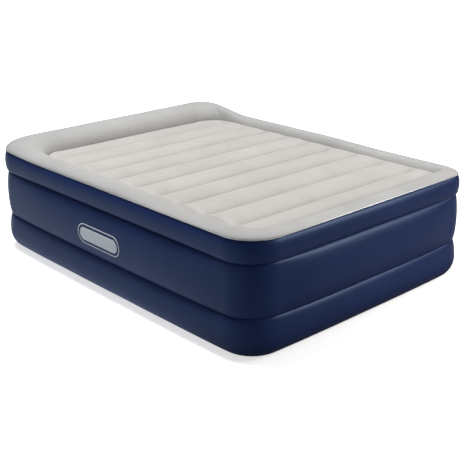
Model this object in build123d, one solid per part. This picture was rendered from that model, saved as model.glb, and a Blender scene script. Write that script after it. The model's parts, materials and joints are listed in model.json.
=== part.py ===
"""Raised queen air bed with a built-in pump.

Frame: origin at the middle of the underside, +X across the bed, +Y towards the headboard,
+Z up. All sizes are in millimetres. Every piece is written to its own STEP file.
"""
from build123d import *
import math
import os

# ---- driving dimensions: the air chambers -----------------------------------------------
LENGTH = 2030.0          # seam to seam, foot to head (80 in)
WIDTH = 1520.0           # seam to seam, side to side (60 in)
CORNER_R = 170.0         # plan radius of the corners at the seam
BULGE = 9.0              # how far the side walls swell past the seam
SKIN = 3.0               # modelled thickness of a welded sheet
FLANGE_INSET = 30.0      # inner edge of the seam lip's weld, from the seam outline
SHEET_IN = 5.0           # inner sheets end this far inside the grooves

LOWER_GROOVE_Z = 198.0   # centre of the deep groove between base and sleeping chambers
UPPER_GROOVE_Z = 441.0   # centre of the fine groove under the top edge
SEAM_Z = 545.0           # weld seam between side wall and flocked top
LIP = 2.0                # height of the seam's projecting lip
LIP_OUT = 4.0            # how far the lip stands out of the seam outline
BASE_R = 30.0            # roll of the wall into the underside
DEEP_R = 35.0            # roll of the walls into the deep groove
FINE_R = 12.0            # roll of the walls into the fine groove and the seam

# ---- driving dimensions: the flocked top ------------------------------------------------
RIM_BASE_Z = 515.0       # where the rim's inner side meets its web
RIM_WIDTH = 105.0        # seam to inner base, on the sides and foot
HEAD_WIDTH = 170.0       # seam to inner base, along the headboard
RIM_CREST_Z = 560.0
WING_CREST_Z = 595.0     # headboard height at its corners
HEAD_CREST_Z = 602.0     # headboard height along the head end
WING_START_Y = 560.0     # where the side rims start to rise towards the headboard
HEAD_TAPER = 110.0       # length over which the headboard widens from its corners
CHANNELS = 10
VALLEY_Z = 503.0
CROWN_Z = 545.0
PANEL_EDGE = 8.0         # flat weld strip round the channelled panel
RIM_CREST_IN = 50.0      # crest of the rim and wings, from the seam
HEAD_CREST_IN = 75.0     # crest of the headboard, from the seam

# ---- driving dimensions: the inner webs -------------------------------------------------
BEAM_LENGTH = 1200.0
BASE_WEBS = 7

# ---- driving dimensions: the pump in the head wall --------------------------------------
PUMP_X = 330.0
PUMP_Z = 331.0
PLATE_W = 216.0
PLATE_H = 146.0
PLATE_R = 26.0
PLATE_T = 3.0
PLATE_GAP = 0.5          # wall opening round the plate
BUCKET_W = 200.0
BUCKET_H = 130.0
BUCKET_R = 20.0
BUCKET_WALL = 2.5
BUCKET_DEPTH = 130.0
WELD_RIM = 10.0          # bucket flange past the plate, welded behind the wall
PUMP_PANEL_W = 360.0     # length of the wall panel that carries the pump
RUN_FIT = 0.05           # radial clearance of shafts and pins that turn

KNOB_U = -52.0
DISH_R = 40.0
DISH_DEPTH = 14.0
KNOB_R = 37.0
SHAFT_R = 5.0
ROTOR_R = 30.0

POCKET_U = (8.0, 88.0)
POCKET_V = (-56.0, 18.0)
POCKET_DEPTH = 46.0
WALL = 2.0               # thin moulded wall
LID_GAP = 0.4
HINGE_R = 4.4            # lid barrel
HINGE_PIN_R = 1.2

FAN_U = -40.0
FAN_R = 52.0
FAN_FRONT = 50.0
FAN_BACK = 80.0
MOTOR_R = 22.0
MOTOR_SHAFT_R = 2.0

HALF_W = WIDTH / 2
HALF_L = LENGTH / 2
FACE_Y = HALF_L + BULGE  # front of the pump plate, level with the wall
FOOT_BASE_Y = -(HALF_L - RIM_WIDTH)
HEAD_BASE_Y = HALF_L - HEAD_WIDTH
PITCH = (HEAD_BASE_Y - FOOT_BASE_Y) / CHANNELS
VALLEYS = [FOOT_BASE_Y + PITCH * k for k in range(1, CHANNELS)]

os.makedirs("parts", exist_ok=True)


def save(name, shape):
    """Write one named piece."""
    shape.label = name
    export_step(shape, f"parts/{name}.step")


# ---- side walls and flat sheets ---------------------------------------------------------
def outline(inset):
    """Plan outline of the bed, moved inwards by inset."""
    return RectangleRounded(WIDTH - 2 * inset, LENGTH - 2 * inset, CORNER_R - inset)


def slab(face, low, high):
    """Plan face turned into a plate between two heights."""
    return extrude(Pos(0, 0, low) * face, high - low)


def rolled_block(inset, low, high, low_r, high_r):
    """Block with the plan outline, its lower and upper edges rolled in."""
    block = slab(outline(inset), low, high)
    block = fillet(block.faces().sort_by(Axis.Z)[-1].edges(), high_r)
    return fillet(block.faces().sort_by(Axis.Z)[0].edges(), low_r)


def side_band(low, high, low_r, high_r):
    """Ring of wall that swells out between two grooves, with a weld flange at each edge."""
    outer = rolled_block(-BULGE, low, high, low_r, high_r)
    air = rolled_block(SKIN - BULGE, low + SKIN, high - SKIN, low_r - SKIN, high_r - SKIN)
    return outer - air - slab(outline(FLANGE_INSET + BASE_R), low, high)


HALF_SKIN = SKIN / 2
LOWER_SHEET = (LOWER_GROOVE_Z - HALF_SKIN, LOWER_GROOVE_Z + HALF_SKIN)
UPPER_SHEET = (UPPER_GROOVE_Z - HALF_SKIN, UPPER_GROOVE_Z + HALF_SKIN)


def panel_outline():
    """Plan outline of the channelled panel: the inner base of the rim and headboard."""
    side = HALF_W - RIM_WIDTH
    corner_y = HALF_L - RIM_WIDTH
    turn = CORNER_R - RIM_WIDTH
    straight_x = HALF_W - CORNER_R
    taper_x = straight_x - HEAD_TAPER
    foot = -corner_y
    arc = math.sqrt(0.5) * turn
    right = [
        Line((0, foot), (side - turn, foot)),
        ThreePointArc((side - turn, foot), (side - turn + arc, foot + turn - arc), (side, foot + turn)),
        Line((side, foot + turn), (side, corner_y - turn)),
        ThreePointArc((side, corner_y - turn), (side - turn + arc, corner_y - turn + arc),
                      (side - turn, corner_y)),
        Line((side - turn, corner_y), (taper_x, HEAD_BASE_Y)),
        Line((taper_x, HEAD_BASE_Y), (0, HEAD_BASE_Y)),
    ]
    left = [edge.mirror(Plane.YZ) for edge in right]
    return make_face(right + left)


PANEL = panel_outline()

save("bottom_sheet", slab(outline(BASE_R - BULGE + SKIN), 0, SKIN))
save("lower_side_band", side_band(SKIN, LOWER_SHEET[0], BASE_R, DEEP_R))
save("mid_membrane", slab(outline(DEEP_R - BULGE + SHEET_IN), *LOWER_SHEET))
wall_opening = RectangleRounded(PLATE_W + 2 * PLATE_GAP, PLATE_H + 2 * PLATE_GAP, PLATE_R + PLATE_GAP)
HEAD_PLANE = Plane(origin=(PUMP_X, FACE_Y, PUMP_Z), x_dir=(1, 0, 0), z_dir=(0, -1, 0))


def inward(face, start, end):
    """Face drawn on the pump's front, turned into a solid between two depths."""
    return extrude(HEAD_PLANE * Pos(0, 0, start) * face, end - start)


middle_band = side_band(LOWER_SHEET[1], UPPER_SHEET[0], DEEP_R, FINE_R)
middle_band -= inward(wall_opening, -1, SKIN + 1)
pump_stretch = Pos(PUMP_X, FACE_Y, PUMP_Z) * Box(PUMP_PANEL_W, 4 * (FLANGE_INSET + BASE_R), LENGTH)
save("middle_side_band", middle_band - pump_stretch)
save("pump_wall_panel", middle_band & pump_stretch)
save("waist_belt", slab(outline(FINE_R - BULGE + SHEET_IN) - PANEL, *UPPER_SHEET))
save("upper_side_band", side_band(UPPER_SHEET[1], SEAM_Z, FINE_R, FINE_R))
save("top_seam_lip", slab(outline(-LIP_OUT) - outline(FLANGE_INSET), SEAM_Z, SEAM_Z + LIP))


# ---- flocked top ------------------------------------------------------------------------
def bolster_section(crest_in, crest_z, width):
    """Skin of an air bolster, drawn as (inset from the seam outline, height)."""
    base_in = width - SKIN
    foot_z = SEAM_Z + LIP
    edges = [
        ThreePointArc((0, foot_z), (crest_in, crest_z), (width, RIM_BASE_Z)),
        Line((width, RIM_BASE_Z), (base_in, RIM_BASE_Z)),
        ThreePointArc((base_in, RIM_BASE_Z), (crest_in, crest_z - SKIN), (SKIN, foot_z)),
        Line((SKIN, foot_z), (0, foot_z)),
    ]
    return make_face(edges)


RIM_SECTION = bolster_section(RIM_CREST_IN, RIM_CREST_Z, RIM_WIDTH)
WING_SECTION = bolster_section(RIM_CREST_IN, WING_CREST_Z, RIM_WIDTH)
HEAD_SECTION = bolster_section(HEAD_CREST_IN, HEAD_CREST_Z, HEAD_WIDTH)
TURN_X = HALF_W - CORNER_R
TURN_Y = HALF_L - CORNER_R


def side_plane(y):
    """Section plane across the right side rim: inset runs towards -X."""
    return Plane(origin=(HALF_W, y, 0), x_dir=(-1, 0, 0), z_dir=(0, 1, 0))


def end_plane(x, end):
    """Section plane across the foot (end -1) or head (end 1), inset running inwards."""
    return Plane(origin=(x, end * HALF_L, 0), x_dir=(0, -end, 0), z_dir=(-end, 0, 0))


def corner(section, end):
    """Quarter turn of a bolster round the right-hand corner at the foot or head."""
    face = side_plane(end * TURN_Y) * section
    axis = Axis((TURN_X, end * TURN_Y, 0), (0, 0, end))
    return revolve(face, axis, 90)


def both_sides(half):
    """A right-hand half and its mirror image as one piece."""
    return half + half.mirror(Plane.YZ)


rim_side = extrude(side_plane(-TURN_Y) * RIM_SECTION, TURN_Y + WING_START_Y)
rim_foot = extrude(end_plane(0, -1) * RIM_SECTION, TURN_X)
save("rim_bolster", both_sides(rim_side + corner(RIM_SECTION, -1) + rim_foot))

wing = loft([side_plane(WING_START_Y) * RIM_SECTION, side_plane(TURN_Y) * WING_SECTION], ruled=True)
taper = loft(
    [end_plane(TURN_X - HEAD_TAPER, 1) * HEAD_SECTION, end_plane(TURN_X, 1) * WING_SECTION],
    ruled=True,
)
ridge = extrude(end_plane(0, 1) * HEAD_SECTION, HEAD_TAPER - TURN_X)
save("headboard_bolster", both_sides(wing + corner(WING_SECTION, 1) + taper + ridge))


def channel_profile(shrink):
    """Crowned channels seen from the side, as (y, z), each arc shrunk by the same amount."""
    rise = CROWN_Z - VALLEY_Z
    radius = ((PITCH / 2) ** 2 + rise ** 2) / (2 * rise)
    profile = Sketch()
    for k in range(CHANNELS):
        centre = (FOOT_BASE_Y + PITCH * (k + 0.5), CROWN_Z - radius)
        profile += Pos(*centre) * Circle(radius - shrink)
    floor_z = VALLEY_Z - (SKIN if shrink else 0)
    keep = Pos(0, floor_z) * Rectangle(2 * LENGTH, 2 * rise, align=(Align.CENTER, Align.MIN))
    return profile & keep


def channel_bar(shrink):
    """The channel profile run across the whole bed."""
    across = Plane(origin=(-HALF_W, 0, 0), x_dir=(0, 1, 0), z_dir=(1, 0, 0))
    return extrude(across * channel_profile(shrink), WIDTH)


crown_plan = offset(PANEL, -PANEL_EDGE)
air_plan = offset(PANEL, -PANEL_EDGE - SKIN)
crowns = channel_bar(0) & slab(crown_plan, VALLEY_Z, CROWN_Z + SKIN)
panel_air = channel_bar(SKIN) & slab(air_plan, VALLEY_Z - SKIN, CROWN_Z + SKIN)
weld_strip = slab(PANEL, VALLEY_Z - SKIN, VALLEY_Z)
save("sleeping_panel", weld_strip + crowns - panel_air)

web_ring = offset(PANEL, SKIN) - PANEL
save("rim_web", slab(web_ring, UPPER_SHEET[1], RIM_BASE_Z))


# ---- inner webs -------------------------------------------------------------------------
def strips(places, length, low, high):
    """Upright strips across the bed, one at each place along it."""
    strip = Box(length, SKIN, high - low, align=(Align.CENTER, Align.CENTER, Align.MIN))
    return Compound([Pos(0, y, low) * strip for y in places])


save("i_beams", strips(VALLEYS, BEAM_LENGTH, LOWER_SHEET[1], VALLEY_Z - SKIN))
web_step = LENGTH / (BASE_WEBS + 1)
web_places = [-HALF_L + web_step * k for k in range(1, BASE_WEBS + 1)]
save("base_webs", strips(web_places, BEAM_LENGTH, SKIN, LOWER_SHEET[0]))


# ---- pump: fixed housing ----------------------------------------------------------------
def disc(u, v, radius, start, end):
    """Round solid on the pump, about a line running straight in from its face."""
    return inward(Pos(u, v) * Circle(radius), start, end)


def block(u_range, v_range, start, end):
    """Square solid on the pump between two sideways, two upward and two inward places."""
    width = u_range[1] - u_range[0]
    height = v_range[1] - v_range[0]
    middle = Pos(sum(u_range) / 2, sum(v_range) / 2)
    return inward(middle * Rectangle(width, height), start, end)


def crossbar(u_range, v, depth, radius):
    """Round bar that runs sideways behind the pump's face."""
    centre = ((u_range[0] + u_range[1]) / 2 + PUMP_X, FACE_Y - depth, PUMP_Z + v)
    return Pos(*centre) * Rot(0, 90, 0) * Cylinder(radius, u_range[1] - u_range[0])


SCREW_R = 1.6
SCREW_HEAD_R = 3.2
SCREW_HEAD_T = 1.5
SCREW_LENGTH = 13.0
BOSS_R = 4.0
screw_places = [
    (side * (PLATE_W / 2 - 4.6), v)
    for side in (-1, 1)
    for v in (-44.0, 44.0)
] + [(side * 3.0, side * (PLATE_H / 2 - 4.6)) for side in (-1, 1)]

flange_size = (PLATE_W + 2 * WELD_RIM, PLATE_H + 2 * WELD_RIM)
flange = inward(RectangleRounded(*flange_size, PLATE_R + WELD_RIM), PLATE_T, 2 * PLATE_T)
tub = inward(RectangleRounded(BUCKET_W, BUCKET_H, BUCKET_R), PLATE_T, BUCKET_DEPTH)
tub_air = inward(
    RectangleRounded(BUCKET_W - 2 * BUCKET_WALL, BUCKET_H - 2 * BUCKET_WALL, BUCKET_R - BUCKET_WALL),
    PLATE_T,
    BUCKET_DEPTH - BUCKET_WALL,
)
FLAP_U = 60.0
FLAP_PORT_R = 18.0
FLAP_R = 21.0
FLAP_T = 1.5
FLAP_BARREL_R = 2.2
FLAP_PIN_R = 1.0
FLAP_AXIS_V = FLAP_R + FLAP_BARREL_R
FLAP_AXIS_DEPTH = BUCKET_DEPTH + FLAP_BARREL_R + LID_GAP
EAR_U = (FLAP_U - 14.0, FLAP_U + 14.0)
EAR_W = 3.0

bucket = flange + tub - tub_air
for u, v in screw_places:
    bucket += disc(u, v, BOSS_R, PLATE_T, SCREW_LENGTH + 2)
for u, v in screw_places:
    bucket -= disc(u, v, SCREW_R, PLATE_T, SCREW_LENGTH)
bucket -= disc(FLAP_U, 0, FLAP_PORT_R, BUCKET_DEPTH - BUCKET_WALL, BUCKET_DEPTH)
ear_v = (FLAP_AXIS_V - 3, FLAP_AXIS_V + 3)
ear_depth = FLAP_AXIS_DEPTH + 3
for inner, outward in ((EAR_U[0], -1), (EAR_U[1], 1)):
    ear_u = sorted((inner, inner + outward * EAR_W))
    bucket += block(ear_u, ear_v, BUCKET_DEPTH, ear_depth)
pin_u = (EAR_U[0] - EAR_W, EAR_U[1] + EAR_W)
bucket -= crossbar(pin_u, FLAP_AXIS_V, FLAP_AXIS_DEPTH, FLAP_PIN_R)
GASKET_W = 2.0
GASKET_T = 1.5
gasket_size = (BUCKET_W + 5, BUCKET_H + 5)
gasket = inward(
    RectangleRounded(*gasket_size, BUCKET_R + 2.5)
    - RectangleRounded(gasket_size[0] - 2 * GASKET_W, gasket_size[1] - 2 * GASKET_W, BUCKET_R + 0.5),
    PLATE_T,
    PLATE_T + GASKET_T,
)
for u, v in screw_places:
    gasket -= disc(u, v, SCREW_R + 1, PLATE_T, PLATE_T + GASKET_T)
save("pump_bucket", bucket - gasket)
save("face_gasket", gasket)

SWITCH_U = (39.0, 65.0)
SWITCH_V = (37.0, 51.0)
GRILLE_U = (70.0, 98.0)
GRILLE_V = (36.0, 52.0)
plate = inward(RectangleRounded(PLATE_W, PLATE_H, PLATE_R), 0, PLATE_T)
plate -= block(POCKET_U, POCKET_V, 0, PLATE_T)
plate -= block(SWITCH_U, SWITCH_V, 0, PLATE_T)
plate -= block(GRILLE_U, GRILLE_V, 0, PLATE_T)
plate += disc(KNOB_U, 0, DISH_R + WALL, PLATE_T, DISH_DEPTH + WALL)
plate -= disc(KNOB_U, 0, DISH_R, 0, DISH_DEPTH)
plate -= disc(KNOB_U, 0, SHAFT_R + RUN_FIT, DISH_DEPTH, DISH_DEPTH + WALL)
for u, v in screw_places:
    plate -= disc(u, v, SCREW_R + 0.1, 0, PLATE_T)
    plate -= disc(u, v, SCREW_HEAD_R + 0.1, 0, SCREW_HEAD_T)
save("face_plate", plate)

screws = []
for u, v in screw_places:
    head = disc(u, v, SCREW_HEAD_R, 0.2, SCREW_HEAD_T)
    slot_bar = block((u - 2.4, u + 2.4), (v - 0.4, v + 0.4), 0.2, 0.8)
    screws.append(head - slot_bar + disc(u, v, SCREW_R, SCREW_HEAD_T, SCREW_LENGTH))
save("face_screws", Compound(screws))

# ---- pump: air inlet grille and power switch --------------------------------------------
grille_u = (GRILLE_U[0] + 0.1, GRILLE_U[1] - 0.1)
grille_v = (GRILLE_V[0] + 0.1, GRILLE_V[1] - 0.1)
grille = block(grille_u, grille_v, 0.3, PLATE_T)
slot_count = 5
slot_step = (GRILLE_V[1] - GRILLE_V[0]) / (slot_count + 1)
for k in range(1, slot_count + 1):
    v = GRILLE_V[0] + slot_step * k
    grille -= block((GRILLE_U[0] + 3, GRILLE_U[1] - 3), (v - 0.7, v + 0.7), 0, PLATE_T)
save("air_grille", grille)

ROCKER_R = 12.6
ROCKER_TILT = 7.0
PIVOT_DEPTH = 8.0
PIVOT_R = 1.5
switch_mid = (sum(SWITCH_U) / 2, sum(SWITCH_V) / 2)
switch = block((SWITCH_U[0] - 3, SWITCH_U[1] + 3), (SWITCH_V[0] - 2, SWITCH_V[1] + 2), PLATE_T, 26)
switch -= block(SWITCH_U, SWITCH_V, PLATE_T, 22)
pivot_place = Pos(PUMP_X + switch_mid[0], FACE_Y - PIVOT_DEPTH, PUMP_Z + switch_mid[1])
pivot_length = SWITCH_V[1] - SWITCH_V[0]
switch -= pivot_place * Cylinder(PIVOT_R, pivot_length + 2)
save("switch_body", switch)
save("rocker_pin", pivot_place * Cylinder(PIVOT_R, pivot_length + 2))

rocker_height = pivot_length - 2 * LID_GAP
rocker = Cylinder(ROCKER_R, rocker_height)
front = PIVOT_DEPTH - 1.2
rocker &= Pos(0, (front - 5) / 2, 0) * Box(2 * ROCKER_R, front + 5, rocker_height)
for side in (-1, 1):
    dip = Pos(side * ROCKER_R, front + 0.6, 0) * Rot(0, 0, side * -ROCKER_TILT)
    rocker -= dip * Box(2 * ROCKER_R - 1, 2.4, rocker_height)
rocker -= Cylinder(PIVOT_R + RUN_FIT, rocker_height)
save("power_rocker", pivot_place * Rot(0, 0, -ROCKER_TILT) * rocker)

# ---- pump: cord pocket, its lid and the cord gland --------------------------------------
outer_u = (POCKET_U[0] - WALL, POCKET_U[1] + WALL)
outer_v = (POCKET_V[0] - WALL, POCKET_V[1] + WALL)
HINGE_V = POCKET_V[1] - HINGE_R - LID_GAP
GLAND_U = 20.0
GLAND_V = -45.0
GLAND_R = 5.0
GLAND_BORE_R = 3.3
pocket = block(outer_u, outer_v, PLATE_T, POCKET_DEPTH + WALL)
pocket -= block(POCKET_U, POCKET_V, PLATE_T, POCKET_DEPTH)
pocket -= disc(GLAND_U, GLAND_V, GLAND_R, POCKET_DEPTH, POCKET_DEPTH + WALL)
pocket -= crossbar(outer_u, HINGE_V, HINGE_R, HINGE_PIN_R)
save("cord_pocket", pocket)

gland = disc(GLAND_U, GLAND_V, GLAND_R + 3, POCKET_DEPTH - 2, POCKET_DEPTH)
gland += disc(GLAND_U, GLAND_V, GLAND_R, POCKET_DEPTH - 2, POCKET_DEPTH + WALL)
gland += disc(GLAND_U, GLAND_V, GLAND_R + 2, POCKET_DEPTH + WALL, POCKET_DEPTH + WALL + 2)
gland -= disc(GLAND_U, GLAND_V, GLAND_BORE_R, 0, POCKET_DEPTH + 10)
save("cord_gland", gland)

LID_T = 2.5
lid_u = (POCKET_U[0] + LID_GAP, POCKET_U[1] - LID_GAP)
lid = block(lid_u, (POCKET_V[0] + LID_GAP, HINGE_V), 0, LID_T)
lid += crossbar(lid_u, HINGE_V, HINGE_R, HINGE_R)
lid -= disc(sum(lid_u) / 2, POCKET_V[0] + LID_GAP, 9, 0, LID_T)
lid -= crossbar(lid_u, HINGE_V, HINGE_R, HINGE_PIN_R + RUN_FIT)
save("cord_lid", lid)
save("lid_hinge_pin", crossbar(outer_u, HINGE_V, HINGE_R, HINGE_PIN_R))

# ---- pump: mode knob and the air valve it turns -----------------------------------------
knob = disc(KNOB_U, 0, KNOB_R, 9, 13)
grip = block((KNOB_U - 6.5, KNOB_U + 6.5), (-33, 33), 1.5, 9)
knob += fillet(grip.faces().sort_by(Axis.Y)[-1].edges(), 2.5)
knob -= disc(KNOB_U, 0, SHAFT_R - 1.5, 8, 13)
save("mode_knob", knob)

CHAMBER_BACK = 44.0
ROTOR_FRONT = 34.0
ROTOR_BACK = 40.0
shaft = disc(KNOB_U, 0, SHAFT_R, 13, ROTOR_BACK) + disc(KNOB_U, 0, SHAFT_R - 1.5, 8, 13)
save("knob_shaft", shaft)
rotor = disc(KNOB_U, 0, ROTOR_R, ROTOR_FRONT, ROTOR_BACK)
rotor -= disc(KNOB_U, 0, SHAFT_R, ROTOR_FRONT, ROTOR_BACK)
for angle in (0, 180):
    reach = math.radians(angle)
    rotor -= disc(KNOB_U + 17 * math.cos(reach), 17 * math.sin(reach), 8, ROTOR_FRONT, ROTOR_BACK)
save("valve_rotor", rotor)

chamber = disc(KNOB_U, 0, ROTOR_R + 3, DISH_DEPTH + WALL, CHAMBER_BACK)
chamber -= disc(KNOB_U, 0, ROTOR_R + 0.3, DISH_DEPTH + WALL, ROTOR_BACK + 0.3)
for angle in (90, 270):
    reach = math.radians(angle)
    chamber -= disc(KNOB_U, 17 * math.sin(reach), 8, ROTOR_BACK, CHAMBER_BACK)
save("valve_chamber", chamber)

# ---- pump: fan and motor ----------------------------------------------------------------
fan_housing = disc(FAN_U, 0, FAN_R, FAN_FRONT, FAN_BACK)
fan_housing += block((FAN_U, FAN_U + 96), (22, 50), FAN_FRONT + 4, FAN_BACK - 4)
fan_housing -= block((FAN_U, FAN_U + 96), (24, 48), FAN_FRONT + 6, FAN_BACK - 6)
fan_housing -= disc(FAN_U, 0, FAN_R - WALL, FAN_FRONT + WALL, FAN_BACK)
fan_housing -= disc(FAN_U, 0, 16, FAN_FRONT, FAN_FRONT + WALL)
save("fan_housing", fan_housing)

cover = disc(FAN_U, 0, FAN_R, FAN_BACK, FAN_BACK + WALL)
cover -= disc(FAN_U, 0, MOTOR_SHAFT_R + 1, FAN_BACK, FAN_BACK + WALL)
save("fan_cover", cover)

BLADES = 9
IMPELLER_R = 45.0
impeller = disc(FAN_U, 0, IMPELLER_R, 74, 76) + disc(FAN_U, 0, 8, 58, 76)
hub_centre = HEAD_PLANE * Pos(FAN_U, 0, 60)
for k in range(BLADES):
    spoke = Rot(0, 0, k * 360 / BLADES) * Pos(IMPELLER_R / 2 + 3, 0, 0) * Rot(0, 0, 25)
    impeller += hub_centre * spoke * Box(34, 1.6, 15, align=(Align.CENTER, Align.CENTER, Align.MIN))
impeller -= disc(FAN_U, 0, MOTOR_SHAFT_R, 58, 76)
save("impeller", impeller)

MOTOR_FRONT = FAN_BACK + WALL + 2
MOTOR_BACK = 120.0
save("motor_shaft", disc(FAN_U, 0, MOTOR_SHAFT_R, 56, 122))
armature = disc(FAN_U, 0, 13, MOTOR_FRONT + 6, MOTOR_BACK - 8)
save("armature", armature - disc(FAN_U, 0, MOTOR_SHAFT_R, MOTOR_FRONT, MOTOR_BACK))
motor = disc(FAN_U, 0, MOTOR_R, MOTOR_FRONT, MOTOR_BACK)
motor -= disc(FAN_U, 0, MOTOR_R - WALL, MOTOR_FRONT + WALL, MOTOR_BACK)
motor -= disc(FAN_U, 0, MOTOR_SHAFT_R + RUN_FIT, MOTOR_FRONT, MOTOR_FRONT + WALL)
save("motor_can", motor)
end_cap = disc(FAN_U, 0, MOTOR_R, MOTOR_BACK, MOTOR_BACK + 3)
save("motor_end_cap", end_cap - disc(FAN_U, 0, MOTOR_SHAFT_R + RUN_FIT, MOTOR_BACK, MOTOR_BACK + 2))
mount_ring = disc(FAN_U, 0, MOTOR_R, FAN_BACK + WALL, MOTOR_FRONT)
save("motor_mount_ring", mount_ring - disc(FAN_U, 0, MOTOR_R - 8, FAN_BACK + WALL, MOTOR_FRONT))
save("thermal_cutout", block((FAN_U + MOTOR_R + 0.2, FAN_U + MOTOR_R + 7), (-8, 8), 96, 108))

# ---- pump: check flap on the air port into the bed --------------------------------------
flap = disc(FLAP_U, 0, FLAP_R, BUCKET_DEPTH, BUCKET_DEPTH + FLAP_T)
flap_u = (EAR_U[0] + LID_GAP, EAR_U[1] - LID_GAP)
arm_u = (FLAP_U - 8, FLAP_U + 8)
arm_v = (FLAP_R - 4, FLAP_AXIS_V)
flap += block(arm_u, arm_v, BUCKET_DEPTH + LID_GAP, BUCKET_DEPTH + FLAP_T)
flap += crossbar(flap_u, FLAP_AXIS_V, FLAP_AXIS_DEPTH, FLAP_BARREL_R)
flap -= crossbar(flap_u, FLAP_AXIS_V, FLAP_AXIS_DEPTH, FLAP_PIN_R + RUN_FIT)
save("check_flap", flap)
save("flap_pin", crossbar(pin_u, FLAP_AXIS_V, FLAP_AXIS_DEPTH, FLAP_PIN_R))
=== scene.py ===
"""Looks of a raised queen air bed with a built-in pump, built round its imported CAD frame.

Metres, +Z up, +Y towards the headboard. The soft CAD solids are replaced by inflated skins;
the pump's CAD pieces and the inner webs stay and get their own materials.
"""
import json
import math

import bmesh
import bpy
import numpy as np
from mathutils import Matrix, Vector
from mathutils.bvhtree import BVHTree


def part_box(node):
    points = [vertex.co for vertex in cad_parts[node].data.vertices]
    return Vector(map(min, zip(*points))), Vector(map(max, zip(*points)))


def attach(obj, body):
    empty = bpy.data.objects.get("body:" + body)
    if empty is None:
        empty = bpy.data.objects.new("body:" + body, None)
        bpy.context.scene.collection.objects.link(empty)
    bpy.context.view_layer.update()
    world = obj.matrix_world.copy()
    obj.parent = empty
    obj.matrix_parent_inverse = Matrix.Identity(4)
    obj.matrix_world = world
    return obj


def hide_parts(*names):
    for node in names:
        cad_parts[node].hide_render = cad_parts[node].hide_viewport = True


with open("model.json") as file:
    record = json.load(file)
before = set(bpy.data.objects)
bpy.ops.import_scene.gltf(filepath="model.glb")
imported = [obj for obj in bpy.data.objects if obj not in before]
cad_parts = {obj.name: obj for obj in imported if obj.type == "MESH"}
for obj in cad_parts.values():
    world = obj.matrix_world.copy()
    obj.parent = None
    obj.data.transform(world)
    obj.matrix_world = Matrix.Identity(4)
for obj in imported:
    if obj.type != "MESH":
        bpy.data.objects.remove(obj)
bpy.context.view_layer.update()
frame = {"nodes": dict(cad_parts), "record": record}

BODY = "mattress"

# ---- places read from the frame -----------------------------------------------------------
RIM_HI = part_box("rim_bolster")[1]
HEAD_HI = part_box("headboard_bolster")[1]
PANEL_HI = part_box("sleeping_panel")[1]
BEAMS_LO, BEAMS_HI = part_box("i_beams")
UPPER_LO, UPPER_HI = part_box("upper_side_band")
MIDDLE_LO, MIDDLE_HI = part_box("middle_side_band")
LOWER_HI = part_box("lower_side_band")[1]
LIP_LO, LIP_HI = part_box("top_seam_lip")
PLATE_LO, PLATE_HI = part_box("face_plate")

HALF_W = RIM_HI.x
HALF_L = HEAD_HI.y
SEAM_Z = LIP_LO.z
FINE_GROOVE_Z = (UPPER_LO.z + MIDDLE_HI.z) / 2
DEEP_GROOVE_Z = (MIDDLE_LO.z + LOWER_HI.z) / 2
CHANNELS = 10
PITCH = (BEAMS_HI.y - BEAMS_LO.y) / (CHANNELS - 2)
FOOT_BASE = BEAMS_LO.y - PITCH
HEAD_BASE = BEAMS_HI.y + PITCH - 0.016
SIDE_BASE = PANEL_HI.x - 0.012
FLAT_OUT = UPPER_HI.x - HALF_W     # how far the CAD walls swell, and where the pump plate lies

# ---- shape of the inflated skins ----------------------------------------------------------
CORNER_R = 0.17
SKIN = 0.002
PLATE_CORNER = 0.026
SIDE_STEPS = 150
END_STEPS = 110
CORNER_STEPS = 28
BAND_STEPS = 30

RIM_CREST_IN = 0.076               # crest of the rim, from the seam
RIM_BASE_Z = 0.508                 # crease between rim and sleeping panel
FOOT_MID_Z = 0.552                 # crest of the foot rim at mid-side and at its corners
FOOT_CORNER_Z = 0.562
SIDE_MID_Z = 0.576                 # crest of the side rims beyond the first third of their length
HEAD_LIFT = 0.013                  # the top seam rises towards the head wall
SIDE_CLIMB = (-0.55, 0.0)          # along the length, the side rims climb between these places
CORNER_LIFT = 0.010                # the foot's left corner stands a little higher
LIFT_REACH = 0.14                  # and this is how far that lift spreads
RIGHT_DROP = 0.013                 # the right side sits a little lower than the left
HEAD_CREST_Z = 0.603
WING_START = 0.58                  # the side rims rise from here to the headboard
WING_END = 0.93
VALLEY_Z = 0.499
CROWN_Z = 0.546
FOOT_CORNER_R = (0.025, 0.075)     # right and left corners of the crease at the foot
HEAD_CORNER_R = (0.13, 0.20)       # right and left corners of the crease at the headboard
HEAD_CREST_R = (0.065, 0.19)       # the same for the crest above them
EDGE_ROLL = 0.036                  # the sleeping panel rolls down to the crease over this width
ARCH_POWER = 0.62                  # below 1 a channel's top is flatter and its valley narrower
WELD_FADE = 0.075                  # the valleys come up level over this width beside the crease
HEAD_SINK = 0.016                  # the channels sink a little by the headboard
RIGHT_SINK = 0.007                 # and by the right rim
# pairs of a channel and how far the weld there lies from an even spacing
WELD_SHIFTS = ((0, 0.0), (1, -0.016), (2.6, 0.010), (5, 0.004), (8, -0.012), (10, -0.016))


def smooth(x, low, high):
    """0 below low, 1 above high, with a soft start and end."""
    t = np.clip((np.asarray(x, float) - low) / (high - low), 0.0, 1.0)
    return t * t * (3.0 - 2.0 * t)


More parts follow.
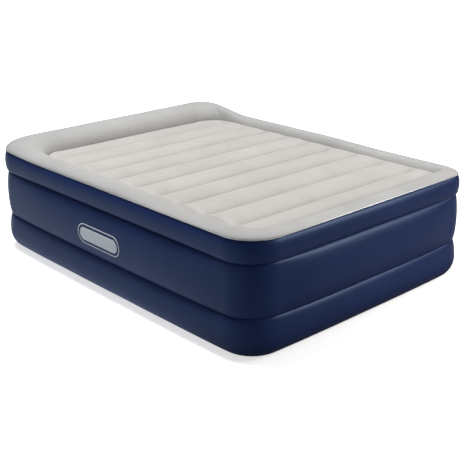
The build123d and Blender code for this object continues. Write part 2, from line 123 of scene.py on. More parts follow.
# ---- plan rings -----------------------------------------------------------------------------
def plan_ring(half_w, foot, head, foot_radii, head_radii):
    """Points of a rounded rectangle, counter-clockwise from the right side's foot end.

    Every ring has the same number of points on each side and corner, so that rings pair up.
    foot_radii and head_radii are the radii of the right and left corners at each end. Returns the
    points, their outward directions and how far each is from a corner (0 to 1).
    """
    right_r, left_r = head_radii
    foot_right_r, foot_left_r = foot_radii
    points, outward, mid = [], [], []

    def straight(start, end, steps, direction):
        for k in range(steps):
            t = k / steps
            points.append(np.array(start) * (1 - t) + np.array(end) * t)
            outward.append(direction)
            mid.append(1 - (2 * t - 1) ** 4)

    def turn(centre, radius, first):
        for k in range(CORNER_STEPS):
            a = math.radians(first + 90 * k / CORNER_STEPS)
            direction = np.array((math.cos(a), math.sin(a)))
            points.append(np.array(centre) + direction * radius)
            outward.append(direction)
            mid.append(0.0)

    straight((half_w, foot + foot_right_r), (half_w, head - right_r), SIDE_STEPS, np.array((1.0, 0.0)))
    turn((half_w - right_r, head - right_r), right_r, 0)
    straight((half_w - right_r, head), (left_r - half_w, head), END_STEPS, np.array((0.0, 1.0)))
    turn((left_r - half_w, head - left_r), left_r, 90)
    straight((-half_w, head - left_r), (-half_w, foot + foot_left_r), SIDE_STEPS, np.array((-1.0, 0.0)))
    turn((foot_left_r - half_w, foot + foot_left_r), foot_left_r, 180)
    straight((foot_left_r - half_w, foot), (half_w - foot_right_r, foot), END_STEPS, np.array((0.0, -1.0)))
    turn((half_w - foot_right_r, foot + foot_right_r), foot_right_r, 270)
    return np.array(points), np.array(outward), np.array(mid)


SEAM, OUTWARD, MID = plan_ring(HALF_W, -HALF_L, HALF_L, (CORNER_R, CORNER_R), (CORNER_R, CORNER_R))
# how far the seam lies below its usual height at each station
DROP = RIGHT_DROP * smooth(OUTWARD[:, 0], 0.3, 1.0) - HEAD_LIFT * smooth(SEAM[:, 1], 0.60, 1.0)
FOOT_LEFT = (0.09 - HALF_W, 0.09 - HALF_L)   # middle of the raised left corner


def ripple(points, scale, seed):
    """Smooth repeatable waviness between -1 and 1 at 3-D points, from a few sine waves."""
    rng = np.random.default_rng(seed)
    total = np.zeros(len(points))
    for octave in range(6):
        wave = rng.normal(size=3)
        wave *= (1.0 + 0.35 * octave) * 2 * math.pi / scale / np.linalg.norm(wave)
        total += np.sin(points @ wave + rng.uniform(0, 2 * math.pi)) / (1.0 + 0.5 * octave)
    return total / 3.0


# ---- mesh helpers ---------------------------------------------------------------------------
def new_piece(name, verts, faces, material, replaces=()):
    """Makes a mesh piece that rides on the mattress."""
    mesh = bpy.data.meshes.new(name)
    mesh.from_pydata([tuple(v) for v in verts], [], faces)
    mesh.update()
    bm = bmesh.new()
    bm.from_mesh(mesh)
    bmesh.ops.recalc_face_normals(bm, faces=bm.faces)
    bm.to_mesh(mesh)
    bm.free()
    for polygon in mesh.polygons:
        polygon.use_smooth = True
    obj = bpy.data.objects.new(name, mesh)
    bpy.context.scene.collection.objects.link(obj)
    obj.data.materials.append(material)
    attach(obj, BODY)
    if replaces:
        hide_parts(*replaces)
    return obj


def ring_faces(rows, stations):
    """Quads of a grid that is closed both ways."""
    faces = []
    for r in range(rows):
        r2 = (r + 1) % rows
        for s in range(stations):
            s2 = (s + 1) % stations
            faces.append((r * stations + s, r * stations + s2, r2 * stations + s2, r2 * stations + s))
    return faces


def skin_ring(out, height):
    """Closed shell from an outer profile at every station.

    out and height are (rows, stations): distance past the seam outline, and z. The inner side
    is the same profile moved in by the skin's thickness. Returns rows of points, outer side first.
    """
    d_out = np.gradient(out, axis=0)
    d_height = np.gradient(height, axis=0)
    length = np.hypot(d_out, d_height)
    inner_out = out - SKIN * d_height / length
    inner_height = height + SKIN * d_out / length
    all_out = np.concatenate([out, inner_out[::-1]])
    all_height = np.concatenate([height, inner_height[::-1]])
    x = SEAM[None, :, 0] + OUTWARD[None, :, 0] * all_out
    y = SEAM[None, :, 1] + OUTWARD[None, :, 1] * all_out
    return np.stack([x, y, all_height], axis=-1)


def slab_faces(rows, cols):
    """Faces of a closed slab: a grid, a second grid that pairs with it, and the edge between them."""
    count = rows * cols
    faces = []
    for r in range(rows - 1):
        for c in range(cols - 1):
            a, b, d, e = r * cols + c, r * cols + c + 1, (r + 1) * cols + c + 1, (r + 1) * cols + c
            faces.append((a, b, d, e))
            faces.append((count + e, count + d, count + b, count + a))
    edge = list(range(cols))
    edge += [r * cols + cols - 1 for r in range(1, rows)]
    edge += [(rows - 1) * cols + c for c in range(cols - 2, -1, -1)]
    edge += [r * cols for r in range(rows - 2, 0, -1)]
    for k, a in enumerate(edge):
        b = edge[(k + 1) % len(edge)]
        faces.append((a, count + a, count + b, b))
    return faces


def rounded_outline(lo_x, lo_z, hi_x, hi_z, corner, steps):
    """Corner points of a rounded rectangle in x and z: arc centre and outward direction of each."""
    points = []
    for cx, cz, first in ((hi_x, hi_z, 0), (lo_x, hi_z, 90), (lo_x, lo_z, 180), (hi_x, lo_z, 270)):
        sx = -1 if cx == hi_x else 1
        sz = -1 if cz == hi_z else 1
        for k in range(steps + 1):
            a = math.radians(first + 90 * k / steps)
            points.append((cx + sx * corner, cz + sz * corner, math.cos(a), math.sin(a)))
    return points


# ---- materials --------------------------------------------------------------------------------
def node_material(name):
    """New node material, its Principled shader and a helper that adds and sets nodes."""
    material = bpy.data.materials.new(name)
    material.use_nodes = True
    tree = material.node_tree
    shader = tree.nodes["Principled BSDF"]

    def add(kind, **values):
        node = tree.nodes.new(kind)
        for key, value in values.items():
            if key in node.inputs:
                node.inputs[key].default_value = value
            else:
                setattr(node, key, value)
        return node

    def link(source, target):
        tree.links.new(source, target)

    return material, shader, add, link


def noise(add, link, place, scale, detail=4.0, roughness=0.5):
    """Noise texture in the piece's own metres."""
    node = add("ShaderNodeTexNoise", Scale=scale, Detail=detail, Roughness=roughness)
    link(place.outputs["Object"], node.inputs["Vector"])
    return node


def colour_ramp(add, link, source, stops):
    """Colour ramp over a value, with stops of (place, colour)."""
    ramp = add("ShaderNodeValToRGB")
    elements = ramp.color_ramp.elements
    elements[0].position, elements[0].color = stops[0]
    elements[1].position, elements[1].color = stops[-1]
    for place, colour in stops[1:-1]:
        element = elements.new(place)
        element.color = colour
    link(source, ramp.inputs["Fac"])
    return ramp


def bump_chain(add, link, shader, layers):
    """Stacks bump layers of (height socket, distance in metres, strength)."""
    last = None
    for socket, distance, strength in layers:
        bump = add("ShaderNodeBump", Distance=distance, Strength=strength)
        link(socket, bump.inputs["Height"])
        if last is not None:
            link(last.outputs["Normal"], bump.inputs["Normal"])
        last = bump
    link(last.outputs["Normal"], shader.inputs["Normal"])


def flock_material(name, dark, light):
    """Short flocked nap: matt, with soft clouding where the nap lies differently."""
    material, shader, add, link = node_material(name)
    place = add("ShaderNodeTexCoord")
    cloud = noise(add, link, place, 5.0, 3.0)
    grain = noise(add, link, place, 900.0, 2.0, 0.7)
    clouds = colour_ramp(add, link, cloud.outputs["Fac"], [(0.3, dark), (0.7, light)])
    fibres = colour_ramp(add, link, grain.outputs["Fac"],
                         [(0.3, (0.86, 0.86, 0.86, 1)), (0.7, (1, 1, 1, 1))])
    mix = add("ShaderNodeMix", data_type="RGBA", blend_type="MULTIPLY")
    mix.inputs["Factor"].default_value = 1.0
    link(clouds.outputs["Color"], mix.inputs["A"])
    link(fibres.outputs["Color"], mix.inputs["B"])
    link(mix.outputs["Result"], shader.inputs["Base Color"])
    shader.inputs["Roughness"].default_value = 0.95
    shader.inputs["Specular IOR Level"].default_value = 0.15
    shader.inputs["Sheen Weight"].default_value = 0.25
    shader.inputs["Sheen Roughness"].default_value = 0.5
    soft = noise(add, link, place, 60.0, 3.0)
    bump_chain(add, link, shader, [(soft.outputs["Fac"], 0.0006, 0.5), (grain.outputs["Fac"], 0.0004, 0.6)])
    return material


def vinyl_material(name, dark, light, roughness):
    """Soft navy vinyl: satin, faintly pebbled, with slow waviness from the air inside."""
    material, shader, add, link = node_material(name)
    place = add("ShaderNodeTexCoord")
    cloud = noise(add, link, place, 3.0, 4.0)
    colours = colour_ramp(add, link, cloud.outputs["Fac"], [(0.3, dark), (0.7, light)])
    link(colours.outputs["Color"], shader.inputs["Base Color"])
    rub = noise(add, link, place, 14.0, 5.0, 0.6)
    gloss = add("ShaderNodeMapRange")
    gloss.inputs["To Min"].default_value = roughness - 0.05
    gloss.inputs["To Max"].default_value = roughness + 0.07
    link(rub.outputs["Fac"], gloss.inputs["Value"])
    link(gloss.outputs["Result"], shader.inputs["Roughness"])
    shader.inputs["Specular IOR Level"].default_value = 0.4
    shader.inputs["Specular Tint"].default_value = (0.45, 0.66, 1.0, 1)
    pebble = add("ShaderNodeTexVoronoi", Scale=650.0)
    link(place.outputs["Object"], pebble.inputs["Vector"])
    wave = noise(add, link, place, 9.0, 2.0)
    bump_chain(add, link, shader, [(wave.outputs["Fac"], 0.004, 0.25),
                                   (pebble.outputs["Distance"], 0.0003, 0.25)])
    return material


def plastic_material(name, colour, roughness, grain_scale=1400.0, grain_depth=0.0002, spread=0.15):
    """Moulded plastic with a fine texture and slight tone changes."""
    material, shader, add, link = node_material(name)
    place = add("ShaderNodeTexCoord")
    cloud = noise(add, link, place, 30.0, 3.0)
    dark = tuple(c * (1 - spread) for c in colour) + (1,)
    light = tuple(min(c * (1 + spread), 1.0) for c in colour) + (1,)
    tones = colour_ramp(add, link, cloud.outputs["Fac"], [(0.3, dark), (0.7, light)])
    link(tones.outputs["Color"], shader.inputs["Base Color"])
    shader.inputs["Roughness"].default_value = roughness
    grain = noise(add, link, place, grain_scale, 2.0, 0.6)
    bump_chain(add, link, shader, [(grain.outputs["Fac"], grain_depth, 0.4)])
    return material


def metal_material(name, colour, roughness):
    """Plated steel with fine drawn scratches."""
    material, shader, add, link = node_material(name)
    place = add("ShaderNodeTexCoord")
    scratch = noise(add, link, place, 700.0, 5.0, 0.7)
    tones = colour_ramp(add, link, scratch.outputs["Fac"],
                        [(0.2, tuple(c * 0.8 for c in colour) + (1,)), (0.8, colour + (1,))])
    link(tones.outputs["Color"], shader.inputs["Base Color"])
    shader.inputs["Metallic"].default_value = 1.0
    shader.inputs["Roughness"].default_value = roughness
    bump_chain(add, link, shader, [(scratch.outputs["Fac"], 0.0001, 0.3)])
    return material


FLOCK = flock_material("flocked_top", (0.475, 0.456, 0.435, 1), (0.525, 0.507, 0.486, 1))
# the rim's flock is greyer than the top's, and darker: the darkness is partly painted shade, lowered to
# bring the headboard's face towards the shade it lies in
RIM_FLOCK_WITH_PAINTED_SHADE = flock_material("flocked_rim_with_painted_shade", (0.412, 0.409, 0.404, 1), (0.458, 0.455, 0.450, 1))
NAVY = vinyl_material("navy_vinyl", (0.012, 0.027, 0.106, 1), (0.016, 0.033, 0.126, 1), 0.38)
BASE_VINYL = vinyl_material("base_vinyl", (0.008, 0.012, 0.032, 1), (0.012, 0.017, 0.042, 1), 0.6)
INNER_VINYL = vinyl_material("inner_vinyl", (0.10, 0.11, 0.14, 1), (0.15, 0.16, 0.19, 1), 0.5)
LIP_MATERIAL = plastic_material("seam_lip", (0.74, 0.76, 0.80), 0.45)
PRINT_WHITE = plastic_material("print_white", (0.86, 0.87, 0.88), 0.45, spread=0.03)


# ---- side walls ---------------------------------------------------------------------------------
def pump_flat():
    """1 at the stations that carry the pump, easing to 0 beside it, for the tier that holds it."""
    half = (PLATE_HI.x - PLATE_LO.x) / 2
    centre = (PLATE_HI.x + PLATE_LO.x) / 2
    beside = np.abs(SEAM[:, 0] - centre) - half
    on_head = (OUTWARD[:, 1] > 0.999).astype(float)
    return on_head * (1 - smooth(beside, 0.012, 0.13))


PUMP_FLAT = pump_flat()


def band(name, low, high, low_in, high_in, swell, mid_swell, low_power, high_power, sag=0.0,
         node_names=(), seed=1, flat_at=0.0):
    """One tier of wall: it swells between its two grooves, most at mid-side.

    low_in and high_in are how far its edges draw in past the seam outline. A higher power turns
    in more tightly at that edge. Where flat_at is 1 the wall lies flat, level with the CAD wall.
    """
    t = np.linspace(0.0, 1.0, BAND_STEPS + 1)
    t = 0.5 - 0.5 * np.cos(math.pi * t)
    rise = 2 * t - 1
    power = np.where(rise < 0, low_power, high_power)
    crown = np.sqrt(1 - np.abs(rise) ** power)
    edge_in = np.where(rise < 0, low_in, high_in)
    bulge = swell + mid_swell * MID
    out = -edge_in[:, None] + (edge_in[:, None] + bulge[None, :]) * crown[:, None]
    height = low + (high - low) * t[:, None] - sag * MID[None, :] * (1 - t[:, None])
    place = np.stack([SEAM[None, :, 0] + 0 * out, SEAM[None, :, 1] + 0 * out, height], axis=-1)
    wave = ripple(place.reshape(-1, 3), 0.55, seed).reshape(out.shape)
    out += 0.0016 * wave * crown[:, None]
    flat = flat_at * smooth(crown, 0.0, 0.55)[:, None] * np.ones(len(SEAM))
    out = out * (1 - flat) + (FLAT_OUT - 0.0004) * flat
    rows = skin_ring(out, height)
    return new_piece(name, rows.reshape(-1, 3), ring_faces(*rows.shape[:2]), NAVY, node_names)


upper_wall = band("upper_wall", FINE_GROOVE_Z + 0.0002, SEAM_Z - DROP, low_in=0.004, high_in=0.007,
                  swell=0.011, mid_swell=0.004, low_power=2.4, high_power=1.7,
                  node_names=("upper_side_band",), seed=3)
middle_wall = band("middle_wall", DEEP_GROOVE_Z + 0.0002, FINE_GROOVE_Z - 0.0002, low_in=0.004,
                   high_in=0.007, swell=0.010, mid_swell=0.020, low_power=2.2, high_power=1.6, sag=0.008,
                   node_names=("middle_side_band", "pump_wall_panel"), seed=5, flat_at=PUMP_FLAT)
lower_wall = band("lower_wall", 0.0005, DEEP_GROOVE_Z - 0.0002, low_in=0.072, high_in=0.007,
                  swell=0.015, mid_swell=0.011, low_power=2.0, high_power=1.6,
                  node_names=("lower_side_band",), seed=7)


def cut_pump_hole(wall):
    """Cuts the pump's rounded opening through the middle wall."""
    gap, depth = 0.0005, 0.05
    radius = PLATE_CORNER + gap
    lo = Vector((PLATE_LO.x - gap, PLATE_HI.y - depth, PLATE_LO.z - gap))
    hi = Vector((PLATE_HI.x + gap, PLATE_HI.y + depth, PLATE_HI.z + gap))
    bm = bmesh.new()
    outline = rounded_outline(lo.x, lo.z, hi.x, hi.z, radius, 12)
    near = [bm.verts.new((x + radius * c, lo.y, z + radius * s)) for x, z, c, s in outline]
    face = bm.faces.new(near)
    far = bmesh.ops.extrude_face_region(bm, geom=[face])
    moved = [v for v in far["geom"] if isinstance(v, bmesh.types.BMVert)]
    bmesh.ops.translate(bm, verts=moved, vec=(0, hi.y - lo.y, 0))
    bmesh.ops.recalc_face_normals(bm, faces=bm.faces)
    mesh = bpy.data.meshes.new("pump_cutter")
    bm.to_mesh(mesh)
    bm.free()
    cutter = bpy.data.objects.new("pump_cutter", mesh)
    bpy.context.scene.collection.objects.link(cutter)
    modifier = wall.modifiers.new("opening", "BOOLEAN")
    modifier.object = cutter
    modifier.operation = "DIFFERENCE"
    modifier.solver = "EXACT"
    graph = bpy.context.evaluated_depsgraph_get()
    cut = bpy.data.meshes.new_from_object(wall.evaluated_get(graph))
    wall.modifiers.clear()
    wall.data = cut
    bpy.data.objects.remove(cutter)


cut_pump_hole(middle_wall)


def printed_mark():
    """Plain white printed bar in a thin outline on the long side, with no lettering."""
    mesh = middle_wall.data
    tree = BVHTree.FromPolygons([v.co for v in mesh.vertices], [p.vertices for p in mesh.polygons])
    centre_y, centre_z = 0.01, (FINE_GROOVE_Z + DEEP_GROOVE_Z) / 2 - 0.02
    straight, arc_steps, run_steps = 0.12, 24, 30
    out, inward = 0.0008, 0.0004

    def ring(radius, depth):
        points = []
        for first, way in ((-90, 1), (90, -1)):
            for k in range(arc_steps):
                a = math.radians(first + 180 * k / arc_steps)
                end_y = centre_y + way * straight
                points.append((end_y + radius * math.cos(a), centre_z + radius * math.sin(a)))
            for k in range(run_steps):
                along = way * straight * (1 - 2 * k / run_steps)
                points.append((centre_y + along, centre_z + way * radius))
        verts = []
        for y, z in points:
            hit, _, _, _ = tree.ray_cast(Vector((-2, y, z)), Vector((1, 0, 0)))
            verts.append((hit.x - depth, y, z))
        return verts

    for name, wide, narrow in (("printed_outline", 0.052, 0.047), ("printed_bar", 0.033, 0.0)):
        radii = np.linspace(wide, narrow, 12)
        rows = np.array([ring(r, out) for r in radii] + [ring(r, -inward) for r in radii[::-1]])
        stations = rows.shape[1]
        faces = ring_faces(len(rows), stations)
        filled = narrow == 0
        if filled:
            middle = (len(radii) - 1) * stations
            del faces[middle:middle + stations]
        piece = new_piece(name, rows.reshape(-1, 3), faces, PRINT_WHITE)
        if filled:
            bm = bmesh.new()
            bm.from_mesh(piece.data)
            bmesh.ops.remove_doubles(bm, verts=bm.verts, dist=0.00001)
            bmesh.ops.recalc_face_normals(bm, faces=bm.faces)
            bm.to_mesh(piece.data)
            bm.free()


printed_mark()


def weld_bead():
    """Heat-welded bead round the pump's opening in the head wall."""
    radius, stand, corner, turns = 0.003, 0.0005, PLATE_CORNER + 0.005, 10
    lo_x, hi_x = PLATE_LO.x - 0.006, PLATE_HI.x + 0.006
    lo_z, hi_z = PLATE_LO.z - 0.006, PLATE_HI.z + 0.006
    path = rounded_outline(lo_x, lo_z, hi_x, hi_z, corner, 8)
    rows = []
    for k in range(turns):
        b = 2 * math.pi * k / turns
        out = corner + radius * math.cos(b)
        y = PLATE_HI.y + stand - radius * 0.4 + 0.7 * radius * math.sin(b)
        rows.append([(cx + out * c, y, cz + out * s) for cx, cz, c, s in path])
    rows = np.array(rows)
    new_piece("pump_weld_bead", rows.reshape(-1, 3), ring_faces(*rows.shape[:2]), NAVY)


weld_bead()

# ---- seam lip -----------------------------------------------------------------------------------
LIP_OUT = LIP_HI.x - HALF_W
LIP_Z = (LIP_LO.z + LIP_HI.z) / 2 + 0.002


def seam_lip():
    """Thin welded edge of the flocked sheet that stands out along the top seam."""
    turns = 12
    angle = np.linspace(0, 2 * math.pi, turns, endpoint=False)
    width = 0.007
    half_h = (LIP_HI.z - LIP_LO.z) / 2 + 0.0004
    out = (LIP_OUT - width + width * np.cos(angle))[:, None] + 0 * MID[None, :]
    height = LIP_Z - DROP[None, :] + (half_h * np.sin(angle))[:, None]
    x = SEAM[None, :, 0] + OUTWARD[None, :, 0] * out
    y = SEAM[None, :, 1] + OUTWARD[None, :, 1] * out
    rows = np.stack([x, y, height], axis=-1)
    return new_piece("seam_lip", rows.reshape(-1, 3), ring_faces(*rows.shape[:2]), LIP_MATERIAL,
                     ("top_seam_lip",))


seam_lip()


# ---- flocked rim and headboard --------------------------------------------------------------------
def rim_and_headboard():
    """The flocked bolster: low round the sides and foot, rising into the headboard."""
    crest, _, _ = plan_ring(HALF_W - RIM_CREST_IN, RIM_CREST_IN - HALF_L, HALF_L - RIM_CREST_IN,
                            (CORNER_R - RIM_CREST_IN, CORNER_R - RIM_CREST_IN), HEAD_CREST_R)
    base, _, _ = plan_ring(SIDE_BASE, FOOT_BASE, HEAD_BASE, FOOT_CORNER_R, HEAD_CORNER_R)
    wing = smooth(crest[:, 1], WING_START, WING_END)
    on_foot = OUTWARD[:, 1] < -0.999
    low = FOOT_CORNER_Z + (FOOT_MID_Z - FOOT_CORNER_Z) * MID * on_foot
    low += (SIDE_MID_Z - FOOT_CORNER_Z) * smooth(crest[:, 1], *SIDE_CLIMB)
    low += CORNER_LIFT * np.exp(-np.sum((crest - FOOT_LEFT) ** 2, axis=1) / LIFT_REACH ** 2)
    low -= RIGHT_DROP * smooth(OUTWARD[:, 0], 0.3, 1.0)
    top = low + (HEAD_CREST_Z + 0.003 * crest[:, 0] / HALF_W - low) * wing
    steps = 15
    foot_z = LIP_Z - DROP
    foot = SEAM + OUTWARD * (LIP_OUT - 0.001)
    # a slightly fuller curve on the headboard's face
    lean = 1.0 - 0.1 * wing * (OUTWARD[:, 1] > 0.3)
    rows = []
    for k in range(steps):
        a = math.pi / 2 * k / steps
        plan = foot + (crest - foot) * (1 - math.cos(a))
        rows.append(np.column_stack([plan, foot_z + (top - foot_z) * math.sin(a)]))
    for k in range(steps + 1):
        a = math.pi / 2 * k / steps
        plan = crest + (base - crest) * (math.sin(a) ** lean)[:, None]
        rows.append(np.column_stack([plan, RIM_BASE_Z + (top - RIM_BASE_Z) * abs(math.cos(a)) ** lean]))
    under = np.column_stack([base + (crest - base) * 0.15, np.full(len(base), RIM_BASE_Z - 0.004)])
    inside = np.column_stack([foot + (crest - foot) * 0.3, foot_z])
    rows += [under, inside]
    grid = np.array(rows)
    wave = ripple(grid.reshape(-1, 3), 0.4, 17).reshape(grid.shape[:2])
    grid[..., 2] += 0.0014 * wave * smooth(grid[..., 2], LIP_Z, LIP_Z + 0.01)
    # rim and headboard take the darker flock, whose darkness is partly painted shade
    return new_piece("rim_and_headboard", grid.reshape(-1, 3), ring_faces(*grid.shape[:2]), RIM_FLOCK_WITH_PAINTED_SHADE,
                     ("rim_bolster", "headboard_bolster"))


rim_and_headboard()


# ---- channelled sleeping panel ----------------------------------------------------------------------
def edge_distance(x, y, half_w, foot, head, foot_radii, head_radii):
    """Distance inwards from a rounded rectangle's edge."""
    mid_y = (foot + head) / 2
    foot_r = np.where(x > 0, *foot_radii)
    head_r = np.where(x > 0, *head_radii)
    radius = np.where(y < mid_y, foot_r, head_r)
    dx = np.abs(x) - (half_w - radius)
    dy = np.abs(y - mid_y) - ((head - foot) / 2 - radius)
    outside = np.hypot(np.maximum(dx, 0), np.maximum(dy, 0))
    return radius - outside - np.minimum(np.maximum(dx, dy), 0)


def half_width(y, side):
    """How far the crease lies from the middle line, on the right (side 0) or left (side 1)."""
    radius = np.where(y < 0, FOOT_CORNER_R[side], HEAD_CORNER_R[side])
    end_gap = np.minimum(y - FOOT_BASE, HEAD_BASE - y)
    past = np.maximum(radius - end_gap, 0)
    return SIDE_BASE - radius + np.sqrt(np.maximum(radius ** 2 - past ** 2, 0))


def sleeping_panel():
    """Ten crowned channels whose ends roll down to the crease at the rim."""
    per_channel = 16
    columns = 130
    v = (np.arange(CHANNELS * per_channel + 1)) / per_channel
    y = FOOT_BASE + PITCH * v
    y += np.interp(v, *zip(*WELD_SHIFTS))
    fold = v - np.floor(v)
    fold = np.where(v == CHANNELS, 1.0, fold)
    arch = 1 - (2 * fold - 1) ** 2
    t = np.linspace(-1, 1, columns + 1)
    t = np.sign(t) * (1 - (1 - np.abs(t)) ** 1.35)
    half = np.where(t[None, :] > 0, half_width(y, 0)[:, None], half_width(y, 1)[:, None])
    x = half * t[None, :]
    yy = np.repeat(y[:, None], columns + 1, axis=1)
    inwards = edge_distance(x, yy, SIDE_BASE, FOOT_BASE, HEAD_BASE, FOOT_CORNER_R, HEAD_CORNER_R)
    inwards = np.maximum(inwards, 0)
    side_gap = half - np.abs(x)
    crown = CROWN_Z - HEAD_SINK * smooth(yy, 0.62, 0.80) - RIGHT_SINK * smooth(x, 0.40, 0.62)
    border = crown - 0.001 - 0.003 * (x < 0)
    valley = VALLEY_Z + (border - VALLEY_Z) * (1 - smooth(side_gap, 0.006, WELD_FADE))
    channel = valley + (crown - valley) * arch[:, None] ** ARCH_POWER
    roll = np.sqrt(np.clip(1 - (1 - np.clip(inwards / EDGE_ROLL, 0, 1)) ** 2, 0, 1))
    z = RIM_BASE_Z + (channel - RIM_BASE_Z) * roll
    z += 0.0012 * ripple(np.stack([x, yy, z], axis=-1).reshape(-1, 3), 0.30, 11).reshape(z.shape) * roll
    top = np.stack([x, yy, z], axis=-1)
    under = top.copy()
    under[..., 2] = np.minimum(top[..., 2] - 0.003, RIM_BASE_Z - 0.004)
    verts = np.concatenate([top.reshape(-1, 3), under.reshape(-1, 3)])
    return new_piece("channelled_panel", verts, slab_faces(*z.shape), FLOCK,
                     ("sleeping_panel",))


sleeping_panel()


# ---- underside --------------------------------------------------------------------------------------
def underside():
    """Sheet on the floor, drawn up a little along the welds of the base webs."""
    inset = 0.071
    half_l, half_w, r = HALF_L - inset, HALF_W - inset, CORNER_R - inset
    webs = 7
    rows = 161
    columns = 61
    y = -half_l * np.cos(np.linspace(0, math.pi, rows))
    gap = half_l - np.abs(y)
    cut = r - np.sqrt(np.maximum(r ** 2 - np.maximum(r - gap, 0) ** 2, 0))
    half = half_w - cut
    x = half[:, None] * np.linspace(-1, 1, columns)[None, :]
    step = 2 * HALF_L / (webs + 1)
    phase = np.abs((y + HALF_L) / step - np.round((y + HALF_L) / step)) * step
    groove = np.exp(-(phase / 0.012) ** 2) * (gap > 0.08)
    side = smooth(half[:, None] - np.abs(x), 0.05, 0.16)
    low = 0.0012 * groove[:, None] * side
    bottom = np.stack([x, np.repeat(y[:, None], columns, 1), low], axis=-1)
    top = bottom.copy()
    top[..., 2] = 0.0028
    verts = np.concatenate([bottom.reshape(-1, 3), top.reshape(-1, 3)])
    return new_piece("underside", verts, slab_faces(*x.shape), BASE_VINYL, ("bottom_sheet",))


underside()

# ---- materials of the CAD pieces that stay --------------------------------------------------------------
CHARCOAL = plastic_material("face_plastic", (0.022, 0.026, 0.040), 0.48)
KNOB_GREY = plastic_material("knob_plastic", (0.30, 0.31, 0.33), 0.42)
ROCKER_BLACK = plastic_material("rocker_plastic", (0.008, 0.008, 0.009), 0.18, 300.0, 0.00003)
INNER_BLACK = plastic_material("inner_plastic", (0.035, 0.035, 0.038), 0.55)
RUBBER = plastic_material("seal_rubber", (0.012, 0.012, 0.012), 0.8)
STEEL = metal_material("plated_steel", (0.55, 0.55, 0.56), 0.32)
BY_SLOT = {
    "inner_sheet": INNER_VINYL,
    "face_plastic": CHARCOAL,
    "knob_plastic": KNOB_GREY,
    "rocker_plastic": ROCKER_BLACK,
    "inner_plastic": INNER_BLACK,
    "seal_rubber": RUBBER,
    "steel": STEEL,
    "flocked_top": FLOCK,
    "navy_wall": NAVY,
    "seam_lip": LIP_MATERIAL,
    "base_sheet": BASE_VINYL,
}
for entry in frame["record"]["subparts"]:
    node = frame["nodes"][entry["node"]]
    for material_slot in node.material_slots:
        material_slot.material = BY_SLOT[entry["material_slot"]]


# ---- floor, light and camera ------------------------------------------------------------------------------
def floor():
    """Floor that is white to the camera, with a soft shadow near the bed, and grey to what it lights.

    To the camera its glow fades near the bed: painted shade that deepens the real shadow there.
    To what it lights, it also glows bluish at the back and left: a painted glow in place of the light a pale
    room would throw on the long side.
    """
    mesh = bpy.data.meshes.new("floor")
    size = 30.0
    corners = [(-size, -size, 0), (size, -size, 0), (size, size, 0), (-size, size, 0)]
    mesh.from_pydata(corners, [], [(0, 1, 2, 3)])
    obj = bpy.data.objects.new("floor", mesh)
    bpy.context.scene.collection.objects.link(obj)
    material, shader, add, link = node_material("floor")
    shader.inputs["Base Color"].default_value = (0.9, 0.9, 0.9, 1)
    shader.inputs["Roughness"].default_value = 0.9
    shader.inputs["Specular IOR Level"].default_value = 0.0
    shader.inputs["Emission Color"].default_value = (1, 1, 1, 1)
    grey = add("ShaderNodeBsdfDiffuse", Color=(0.24, 0.24, 0.25, 1))
    glow = add("ShaderNodeEmission", Color=(0.72, 0.86, 1.0, 1))
    place = add("ShaderNodeTexCoord")
    reach = add("ShaderNodeVectorMath", operation="LENGTH")
    # the camera sees a glow of 0.66 near the bed rising to 1.0 far off: painted shade round the bed
    white = add("ShaderNodeMapRange", interpolation_type="SMOOTHSTEP")
    for socket, value in (("From Min", 1.4), ("From Max", 2.8), ("To Min", 0.66), ("To Max", 1.0)):
        white.inputs[socket].default_value = value
    link(place.outputs["Object"], reach.inputs[0])
    link(reach.outputs["Value"], white.inputs["Value"])
    link(white.outputs["Result"], shader.inputs["Emission Strength"])
    # painted glow, brightest at the back and left, seen only by what the floor lights
    along = add("ShaderNodeVectorMath", operation="DOT_PRODUCT")
    along.inputs[1].default_value = (-0.8, 1.0, 0.0)
    back = add("ShaderNodeMapRange", interpolation_type="SMOOTHSTEP")
    for socket, value in (("From Min", -0.6), ("From Max", 0.5), ("To Min", 0.0), ("To Max", 0.42)):
        back.inputs[socket].default_value = value
    both = add("ShaderNodeAddShader")
    link(place.outputs["Object"], along.inputs[0])
    link(along.outputs["Value"], back.inputs["Value"])
    link(back.outputs["Result"], glow.inputs["Strength"])
    link(grey.outputs[0], both.inputs[0])
    link(glow.outputs[0], both.inputs[1])
    rays = add("ShaderNodeLightPath")
    mix = add("ShaderNodeMixShader")
    link(rays.outputs["Is Camera Ray"], mix.inputs[0])
    link(both.outputs[0], mix.inputs[1])
    link(shader.outputs[0], mix.inputs[2])
    link(mix.outputs[0], material.node_tree.nodes["Material Output"].inputs["Surface"])
    mesh.materials.append(material)
    obj.location.z = -0.0005


def area_light(name, place, target, size, power, colour=(1.0, 1.0, 1.0)):
    """Soft rectangular light aimed at a point."""
    light = bpy.data.lights.new(name, "AREA")
    light.shape = "RECTANGLE"
    light.size, light.size_y = size
    light.energy = power
    light.color = colour
    obj = bpy.data.objects.new(name, light)
    obj.location = place
    obj.rotation_euler = (Vector(target) - Vector(place)).to_track_quat("-Z", "Y").to_euler()
    bpy.context.scene.collection.objects.link(obj)


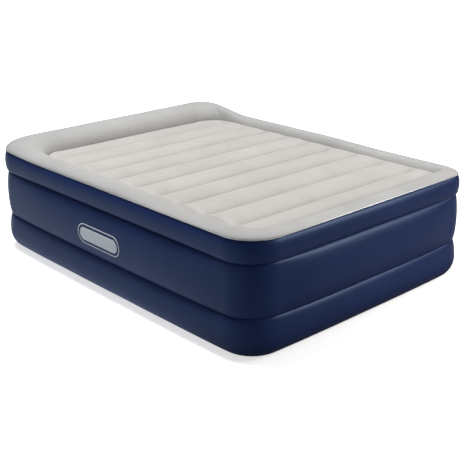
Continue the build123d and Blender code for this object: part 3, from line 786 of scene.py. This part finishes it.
def studio():
    """White backdrop and a dim room, brighter overhead, with soft lights above and at the front right."""
    scene = bpy.context.scene
    world = bpy.data.worlds.new("studio")
    scene.world = world
    world.use_nodes = True
    tree = world.node_tree
    room = tree.nodes["Background"]
    backdrop = tree.nodes.new("ShaderNodeBackground")
    backdrop.inputs["Color"].default_value = (1, 1, 1, 1)
    place = tree.nodes.new("ShaderNodeTexCoord")
    split = tree.nodes.new("ShaderNodeSeparateXYZ")
    height = tree.nodes.new("ShaderNodeMapRange")
    height.inputs["From Min"].default_value = 0.0
    height.inputs["From Max"].default_value = 0.9
    height.inputs["To Min"].default_value = 0.03
    height.inputs["To Max"].default_value = 0.20
    rays = tree.nodes.new("ShaderNodeLightPath")
    mix = tree.nodes.new("ShaderNodeMixShader")
    tree.links.new(place.outputs["Generated"], split.inputs[0])
    tree.links.new(split.outputs["Z"], height.inputs["Value"])
    tree.links.new(height.outputs["Result"], room.inputs["Strength"])
    tree.links.new(rays.outputs["Is Camera Ray"], mix.inputs[0])
    tree.links.new(room.outputs[0], mix.inputs[1])
    tree.links.new(backdrop.outputs[0], mix.inputs[2])
    tree.links.new(mix.outputs[0], tree.nodes["World Output"].inputs["Surface"])
    room.inputs["Color"].default_value = (1, 1, 1, 1)
    area_light("overhead", place=(-0.7, 0.9, 5.3), target=(-0.1, 0.0, 0.5), size=(2.2, 2.2), power=285)
    area_light("front_right", place=(2.2, -3.4, 2.1), target=(0.1, -1.2, 0.45), size=(2.0, 1.8),
               power=90, colour=(1.0, 0.96, 0.92))
    scene.view_settings.view_transform = "Standard"


def camera():
    """Camera at the front left, looking slightly down."""
    azimuth, elevation, roll = math.radians(-42.216), math.radians(20.371), math.radians(-0.415)
    back = Vector((math.sin(azimuth) * math.cos(elevation), -math.cos(azimuth) * math.cos(elevation),
                   math.sin(elevation)))
    right = Vector((math.cos(azimuth), math.sin(azimuth), 0))
    up = back.cross(right)
    side = right * math.cos(roll) + up * math.sin(roll)
    top = up * math.cos(roll) - right * math.sin(roll)
    data = bpy.data.cameras.new("camera")
    data.sensor_width = 36.0
    data.lens = 70.41
    obj = bpy.data.objects.new("camera", data)
    turn = Matrix((side, top, back)).transposed()
    obj.matrix_world = Matrix.Translation((-3.018, -3.385, 1.835)) @ turn.to_4x4()
    bpy.context.scene.collection.objects.link(obj)
    bpy.context.scene.camera = obj


floor()
studio()
camera()
